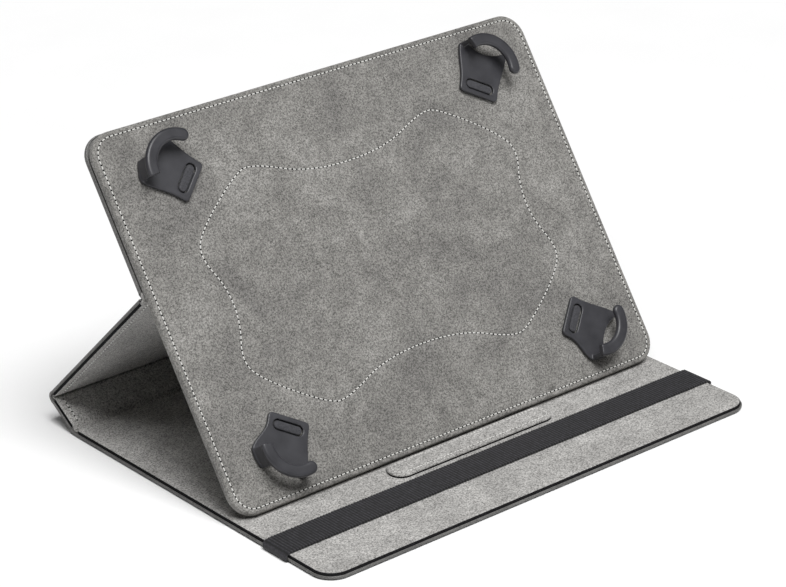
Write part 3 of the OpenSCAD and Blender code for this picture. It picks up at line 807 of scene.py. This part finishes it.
def stitch_shape(length, radius):
    """A stitch along X: a six-sided cylinder whose ends are inset and drawn out."""
    bpy.ops.object.select_all(action="DESELECT")
    taper = 0.7 * radius
    bpy.ops.mesh.primitive_cylinder_add(vertices=6, radius=radius, depth=length - 2 * taper,
                                        rotation=(0, math.pi / 2, 0))
    obj = bpy.context.object
    bpy.ops.object.transform_apply(location=True, rotation=True, scale=True)
    for way in (-1, 1):
        edit(obj)
        select(obj, "faces", lambda f: f.normal.x * way > 0.9)
        bpy.ops.mesh.inset(thickness=0.45 * radius)
        bpy.ops.transform.translate(value=(way * taper, 0, -taper / 2))
        leave()
    return obj


def hole_shape():
    """A needle hole's disc."""
    bpy.ops.object.select_all(action="DESELECT")
    bpy.ops.mesh.primitive_cylinder_add(vertices=8, radius=HOLE_R, depth=HOLE_DEPTH)
    return bpy.context.object


# %% Copies along a path
def copies(name, source, places):
    """Copies of source, each with its own mesh, moved by the places and joined. source is removed."""
    made = []
    for place in places:
        copy = source.copy()
        copy.data = source.data.copy()
        copy.data.transform(place)
        bpy.context.collection.objects.link(copy)
        made.append(copy)
    bpy.ops.object.select_all(action="DESELECT")
    for copy in made:
        copy.select_set(True)
    bpy.context.view_layer.objects.active = made[0]
    bpy.ops.object.join()
    made[0].name = made[0].data.name = name
    bpy.data.objects.remove(source)
    return made[0]


def resampled(path, closed, pitch):
    """Evenly spaced points on a path and the path's directions there."""
    points = [Vector(p) for p in path] + ([Vector(path[0])] if closed else [])
    lengths = [(b - a).length for a, b in zip(points, points[1:])]
    total = sum(lengths)
    count = max(1, round(total / pitch))
    found, i, gone = [], 0, 0.0
    for k in range(count):
        want = total * (k + 0.5) / count
        while gone + lengths[i] < want:
            gone += lengths[i]
            i += 1
        run = points[i + 1] - points[i]
        found.append((points[i] + run * ((want - gone) / lengths[i]), run.normalized()))
    return found, total / count


def stitch_row(name, paths, place, way, body, replaced, kind=PLATE_THREAD):
    """Rows of stitches on a panel's face; way is 1 on a face that looks along +Z and -1 on its back."""
    pitch, share, radius = kind
    stitches, holes = [], []
    for path, closed in paths:
        found, step = resampled(path, closed, pitch)
        for at, run in found:
            slant = dice.uniform(-HAND, HAND)
            turn = Matrix.Rotation(math.atan2(run.y, run.x) + slant, 4, "Z")
            flip = Matrix.Rotation(math.pi if way < 0 else 0, 4, "X")
            stitches.append(Matrix.Translation(at) @ turn @ flip)
            for end in (-0.5, 0.5):
                holes.append(Matrix.Translation(at + run * step * end * HOLE_SHARE))
    row = copies(name, stitch_shape(pitch * share, radius), stitches)
    smooth(row, SOFT_SHADING)
    settle(row, place)
    wear(row, thread, body, replaced)
    pits = copies(name + "_holes", hole_shape(), holes)
    smooth(pits)
    settle(pits, place @ Matrix.Translation((0, 0, -way * HOLE_SINK)))
    wear(pits, painted_hole_shadow, body, ())
    print(name, "has", len(stitches), "stitches")


# %% [markdown]
# A row runs in from its panel's edge by a fixed inset, so its path is the panel's own outline, moved
# inwards. The spine and the prop are sewn only along their short sides, and on both faces.

# %% Rows on the plate
def rounded_path(half, y0, y1, r0, r1, z, steps=10):
    """A closed outline with rounded corners, anticlockwise."""
    path = []
    corners = ((half, y0, r0, -90), (half, y1, r1, 0), (-half, y1, r1, 90), (-half, y0, r0, 180))
    for x, y, r, start in corners:
        cx, cy = x - math.copysign(r, x), y + (r if y == y0 else -r)
        for i in range(steps + 1 if r else 1):
            a = math.radians(start + 90 * i / steps)
            path.append((cx + r * math.cos(a), cy + r * math.sin(a), z))
    return path


ROW_SINK = 0.16 * MM
SEAM_SINK = 0.3 * MM
row_corner = PLATE_CORNER - STITCH_INSET
plate_row = rounded_path(plate_w / 2 - STITCH_INSET, plate_low.y + STITCH_INSET,
                         plate_high.y - STITCH_INSET, row_corner, row_corner, plate_face - ROW_SINK)
stitch_row("plate_edge_stitches", [(plate_row, True)], AT_PLATE, 1, "plate", ("plate_edge_stitching",))
seam_row = [(p.x, p.y, plate_face - SEAM_SINK) for p in seam_line()]
stitch_row("centre_seam_stitches", [(seam_row, True)], AT_PLATE, 1, "plate", ("centre_seam_stitching",))

# %% Rows on the spine, the prop and the rear panel
cover_inset = 4.85 * MM
ROW_END = 1.5 * MM  # how far the rows stop from a fold
PROUD = 0.08 * MM
row_x = cover_w / 2 - cover_inset
for name, place, length in (("spine", AT_SPINE, spine_len), ("prop", AT_PROP, prop_len)):
    low, high = fold_gap + ROW_END, length - fold_gap - ROW_END
    for face, z, way in (("front", panel_t + PROUD, 1), ("back", -PROUD, -1)):
        rows = [([(x, low, z), (x, high, z)], False) for x in (-row_x, row_x)]
        replaced = (name + "_stitching",) if way > 0 else ()
        stitch_row(f"{name}_{face}_stitches", rows, place, way, name, replaced)
rear_row = rounded_path(row_x, fold_gap + ROW_END, rear_top - cover_inset, 0, COVER_CORNER - cover_inset,
                        -PROUD)
stitch_row("rear_panel_stitches", [(rear_row, False)], AT_PLATE, -1, "plate", ("rear_panel_stitching",))

# %% [markdown]
# ## The stop ridge
# The tablet's lower edge stands behind a padded ridge, sewn to the front cover. It is a pill of foam
# with suede over its top. Below the suede is a low box with rounded ends, drawn near-black as painted
# shade: the dark line at the ridge's foot. The suede is another such box on it, whose top rim is beveled,
# and whose top is inset for the valley of the stitching and then for the crown.

# %% Stop ridge
ridge_low, ridge_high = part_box("stop_ridge_cover")
ridge_half = (ridge_high.x - ridge_low.x) / 2
ridge_half_w = (ridge_high.y - ridge_low.y) / 2
RIDGE_END = 0.93 * ridge_half_w
RIDGE_FOOT = panel_t - 0.3 * MM  # the foam starts a little inside the cover's lining
RIDGE_CORE_TOP = panel_t + 1.15 * MM
RIDGE_RIM = ridge_high.z - 0.1 * MM
CORE_SHORT = 0.15 * MM
# the near-black core is painted shade: the dark line at the ridge's foot
core = rounded_box("stop_ridge_core_edge", ridge_half - CORE_SHORT, ridge_low.y + CORE_SHORT,
                   ridge_high.y - CORE_SHORT, RIDGE_FOOT, RIDGE_CORE_TOP, RIDGE_END, RIDGE_END)
smooth(core)
settle(core)
wear(core, painted_foot_shade, "front_cover", ("stop_ridge_core",))

# %% Ridge's suede
# each inset's way in and its rise, in mm: down to the stitching's valley, then up to the crown
VALLEY_AND_CROWN = ((0.35, -0.2), (0.35, -0.05), (0.35, 0.2), (0.6, 0.12), (1.0, 0.1), (1.0, 0.05))
SUEDE_FOOT = RIDGE_CORE_TOP - 0.2 * MM
RIDGE_ROLL = 0.9 * MM
ridge = rounded_box("stop_ridge", ridge_half, ridge_low.y, ridge_high.y, SUEDE_FOOT, RIDGE_RIM, RIDGE_END,
                    RIDGE_END)
bevel_rim(ridge, RIDGE_RIM, (), RIDGE_ROLL, 6)
edit(ridge)
select(ridge, "faces", lambda f: f.normal.z > 0.9999)
for inset, rise in VALLEY_AND_CROWN:
    bpy.ops.mesh.inset(thickness=inset * MM, use_even_offset=True)
    bpy.ops.transform.translate(value=(0, 0, rise * MM))
leave()
smooth(ridge, SOFT_SHADING)
settle(ridge)
wear(ridge, cover_suede, "front_cover", ("stop_ridge_cover",))
print("ridge:", [round(d / MM, 1) for d in ridge.dimensions])

# %% Ridge's stitching
ridge_inset = 2.15 * MM
ridge_row = rounded_path(ridge_half - ridge_inset, ridge_low.y + ridge_inset, ridge_high.y - ridge_inset,
                         ridge_half_w - ridge_inset, ridge_half_w - ridge_inset, ridge_high.z - 0.22 * MM)
stitch_row("stop_ridge_stitches", [(ridge_row, True)], Matrix.Identity(4), 1, "front_cover",
           ("stop_ridge_stitching",), RIDGE_THREAD)

# %% [markdown]
# ## The elastic band
# The band holds the front cover shut. It is woven elastic, so it has a rib across it every 1.6 mm, and
# its edges are slightly serrated. It runs round both edges of the cover. Each half is a grid mapped on
# to that route and thickened, and it is blended: at the cover's edge it stays, and towards the middle
# it follows the band.

# %% Elastic band
band_low, band_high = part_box("elastic_band")
band_y = (band_low.y + band_high.y) / 2
band_half_w = (band_high.y - band_low.y) / 2
BAND_T = 1.0 * MM
# x and z in mm, from the cover's middle round its edge to the underside
BAND_ROUTE = ((0, 3.9), (60, 3.9), (118, 3.9), (124.5, 3.85), (126.9, 3.7), (128.1, 3.15), (128.65, 2.3),
              (128.75, 1.5), (128.65, 0.8), (128.2, 0.25), (127.2, 0.05), (114.0, 0.05))
BAND_ROWS = 8
SERRATION = 0.16 * MM
RIB_HEIGHT = 0.035 * MM
SLACK = 0.05 * MM
SLACK_RUN = 11 * MM
LOOSE = 0.03 * MM


def band_half(name, side, replaced):
    """Half of the band, from the cover's middle to the underside; side is -1 on the left."""
    route = np.array(BAND_ROUTE) * MM
    gone = np.concatenate([[0], np.cumsum(np.hypot(*np.diff(route, axis=0).T))])
    columns = round(gone[-1] / (RIB / 2))
    bpy.ops.object.select_all(action="DESELECT")
    bpy.ops.mesh.primitive_grid_add(x_subdivisions=columns, y_subdivisions=BAND_ROWS, size=1)
    obj = bpy.context.object
    obj.name = obj.data.name = name
    for v in obj.data.vertices:
        column = round((v.co.x + 0.5) * columns)
        rib = 1 if column % 2 else -1
        at = gone[-1] * column / columns
        across = 2 * v.co.y
        wave = SLACK * math.sin(at / SLACK_RUN) + dice.uniform(-LOOSE, LOOSE)
        v.co.x = side * float(np.interp(at, gone, route[:, 0]))
        v.co.y = band_y + across * (band_half_w + rib * SERRATION) + wave
        v.co.z = float(np.interp(at, gone, route[:, 1])) + rib * RIB_HEIGHT
    thicken(obj, BAND_T)
    smooth(obj, SOFT_SHADING)
    settle(obj)
    wear(obj, elastic, None, replaced)
    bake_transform(obj)
    print(name, "is", round(gone[-1] / MM, 1), "mm long")


band_half("elastic_band_left", -1, ("band_end_left", "elastic_band"))
band_half("elastic_band_right", 1, ("band_end_right",))
print("the band is", round(2 * band_half_w / MM, 1), "mm wide")

# %% [markdown]
# ## Corner clips
# Each clip is one moulding: a flat base with a slot, and a curved finger that stands over it on a leg.
# Its solid has sharp edges, as a drawing has. A moulding has none, so the solid is copied, its surface
# is rebuilt in cells a third of a millimetre wide, and smoothed, which rounds every edge and blends the
# leg into both.

# %% Clip bodies
CORNERS = ("top_left", "top_right", "bottom_left", "bottom_right")
CLIP_CELL = 0.34 * MM
CLIP_SOFTENING = 4  # rounds of smoothing, enough to round an edge to about half a millimetre


def moulded(name, source):
    """A copy of a CAD node with its surface rebuilt in even cells and smoothed."""
    obj = bpy.data.objects.new(name, frame["nodes"][source].data.copy())
    bpy.context.collection.objects.link(obj)
    edit(obj)
    bpy.ops.mesh.select_all(action="SELECT")
    bpy.ops.mesh.remove_doubles(threshold=1e-6)
    leave()
    cells = obj.modifiers.new("even cells", "REMESH")
    cells.mode = "VOXEL"
    cells.voxel_size = CLIP_CELL
    soft = obj.modifiers.new("rounded edges", "SMOOTH")
    soft.factor = 0.5
    soft.iterations = CLIP_SOFTENING
    apply_all(obj)
    pick(obj)
    bpy.ops.object.shade_smooth()
    return obj


for corner in CORNERS:
    clip = moulded("clip_" + corner + "_moulding", "clip_" + corner)
    wear(clip, clip_plastic, "clip_body_" + corner, ("clip_" + corner,))
print("clip:", len(clip.data.polygons), "faces")

# %% [markdown]
# ### Straps, bars and slits
# Each clip hangs on an elastic strap. The strap comes up through a slit in the suede, runs under the
# clip and ends in a bar that fills the clip's slot. It is a ribbon, blended from the plate to the clip,
# so it stretches as the clip is pulled out over a larger tablet.

# %% Straps
STRAP_W = 10 * MM
STRAP_T = 0.24 * MM
STRAP_IN = 20 * MM  # how much of it lies inside the plate
STRAP_END = 0.8 * MM
STRAP_STEPS = 22
SLIT_AT = -4.0 * MM  # along the slide, from the clip's slot
STRAP_UP = 0.16 * MM  # its height over the suede
# the strap's way up through the slit, in mm from the slit and from the suede
STRAP_RISE = ((-1.2, -1.05), (-0.3, -0.8), (0, -0.4), (0.3, 0), (0.9, STRAP_UP / MM))


def clip_frame(corner):
    """The slot's place on the plate, with X along the clip's slide and Z off the plate's face."""
    low, high = local_box("anchor_" + corner, AT_PLATE)
    slide = AT_PLATE.to_3x3().inverted() @ Vector(joints["clip_pull_" + corner]["axis"])
    turn = Matrix.Rotation(math.atan2(slide.y, slide.x), 4, "Z")
    return AT_PLATE @ Matrix.Translation(((low.x + high.x) / 2, (low.y + high.y) / 2, plate_face)) @ turn


def strap(corner, at_clip):
    """The elastic strap, from inside the plate through the slit to the clip's slot."""
    rise = [(SLIT_AT + y * MM, z * MM) for y, z in STRAP_RISE]
    rise.insert(0, (SLIT_AT - STRAP_IN, rise[0][1]))
    begin = rise[-1][0]
    step = (STRAP_END - begin) / STRAP_STEPS
    flat = [(begin + step * i, STRAP_UP) for i in range(1, STRAP_STEPS + 1)]
    obj = ribbon("strap_" + corner + "_elastic", rise + flat, STRAP_W / 2, STRAP_T)
    smooth(obj, SOFT_SHADING)
    place = at_clip @ Matrix.Rotation(-math.pi / 2, 4, "Z")
    settle(obj, place)
    wear(obj, strap_weave, None, ("strap_" + corner,))
    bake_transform(obj)


# %% Bars and slits
BAR_HALF = 7.15 * MM
BAR_HALF_W = 2.0 * MM
BAR_END = 0.99 * BAR_HALF_W
BAR_ROLL = 0.7 * MM
BAR_LOW = 0.3 * MM
BAR_SUNK = 0.15 * MM
SLIT_SPARE = 0.6 * MM
SLIT_END = 0.5 * MM
SLIT_DEEP = 0.3 * MM
SLIT_PROUD = 0.02 * MM


def bar(corner, at_clip):
    """The strap's end, folded thick round a pin, which fills the clip's slot."""
    top = local_box("anchor_" + corner, at_clip)[1].z - BAR_SUNK
    obj = rounded_box("bar_" + corner, BAR_HALF, -BAR_HALF_W, BAR_HALF_W, BAR_LOW, top, BAR_END, BAR_END)
    bevel_rim(obj, top, (), BAR_ROLL)
    smooth(obj, SOFT_SHADING)
    settle(obj, at_clip @ Matrix.Rotation(math.pi / 2, 4, "Z"))
    wear(obj, strap_weave, "clip_body_" + corner, ("anchor_" + corner,))


def slit(corner, at_clip):
    """A near-black patch of painted shadow in the suede, at the slit that the strap comes out of."""
    half = STRAP_W / 2 + SLIT_SPARE
    obj = rounded_box("slit_" + corner, half, -SLIT_SPARE, SLIT_SPARE, -SLIT_DEEP, SLIT_PROUD, SLIT_END,
                      SLIT_END)
    settle(obj, at_clip @ Matrix.Translation((SLIT_AT, 0, 0)) @ Matrix.Rotation(math.pi / 2, 4, "Z"))
    # the slit is a near-black piece of painted shadow
    wear(obj, painted_hole_shadow, "plate", ())


for corner in CORNERS:
    at_clip = clip_frame(corner)
    strap(corner, at_clip)
    bar(corner, at_clip)
    slit(corner, at_clip)
print("straps, bars and slits made for", CORNERS)

# %% [markdown]
# ## Floor and light
# The case stands on white paper in a white studio. The world's own light is kept low, so that the
# inside of the fold falls dark. One wide, soft light overhead, a little to the front, lights the plate
# and the cover. Two small panels add no more than the shine on the clips: one from the upper left, one
# from the right in front.

# %% Stage
bpy.ops.object.select_all(action="DESELECT")
bpy.ops.mesh.primitive_plane_add(size=8, location=(0, 0, -0.5 * MM))
floor = bpy.context.object
floor.name = "floor"
PULP = 60  # mm, faint clouds in the paper
paper, shader, place = new_material("white background paper", 0.9)
pulp = node(paper, NOISE, [(place, "Vector")], Scale=per(PULP), Detail=3.0).outputs["Fac"]
tone = node(paper, RAMP, [(pulp, "Fac")], ((0.3, "#fafafa"), (0.7, "#fcfcfc"))).outputs["Color"]
finish_material(paper, shader, tone, [(pulp, 0.02, 0.1)])
floor.data.materials.append(paper)
print("floor made,", round(floor.dimensions.x, 1), "m wide")

# %% Lights
WORLD_LIGHT = 0.05
MIDDLE = Vector((0, 0, 0.05))
world = bpy.data.worlds.new("white studio")
bpy.context.scene.world = world
world.use_nodes = True
world.node_tree.nodes["Background"].inputs["Color"].default_value = (1, 1, 1, 1)
world.node_tree.nodes["Background"].inputs["Strength"].default_value = WORLD_LIGHT
bpy.context.scene.view_settings.view_transform = "Standard"


def soft_light(name, kind, at, size, power):
    """A light at a place that looks at the middle of the case. size is the disc's, or the sun's angle."""
    lamp = bpy.data.lights.new(name, kind)
    lamp.energy = power
    if kind == "AREA":
        lamp.shape = "DISK"
        lamp.size = size
    else:
        lamp.angle = math.radians(size)
    obj = bpy.data.objects.new(name, lamp)
    bpy.context.collection.objects.link(obj)
    obj.location = at
    obj.rotation_euler = (MIDDLE - Vector(at)).to_track_quat("-Z", "Y").to_euler()
    print(name, "made")


soft_light("overhead bank", "SUN", (-0.1, -0.85, 1.9), 34, 3.25)
soft_light("upper left panel", "AREA", (-0.9, -0.35, 1.7), 0.5, 4)
soft_light("right front panel", "AREA", (0.47, -0.6, 0.6), 0.3, 0.3)

# %% [markdown]
# ## Camera
# A long lens from the front left, a little above, keeps the plate's sides nearly parallel. The camera's
# three directions are written out: right, up and ahead, each one unit long and square to the others.

# %% Camera
camera = bpy.data.cameras.new("camera")
camera.lens = 136.9
camera.sensor_width = 36
camera.clip_end = 30
eye = bpy.data.objects.new("camera", camera)
bpy.context.collection.objects.link(eye)
right = Vector((0.77039, -0.63710, -0.02472))
up = Vector((0.27465, 0.29662, 0.91465))
ahead = Vector((0.57539, 0.71143, -0.40349))
turn = Matrix((right, up, -ahead)).transposed().to_4x4()
eye.matrix_world = Matrix.Translation((-0.80236, -0.97916, 0.62411)) @ turn
bpy.context.scene.camera = eye
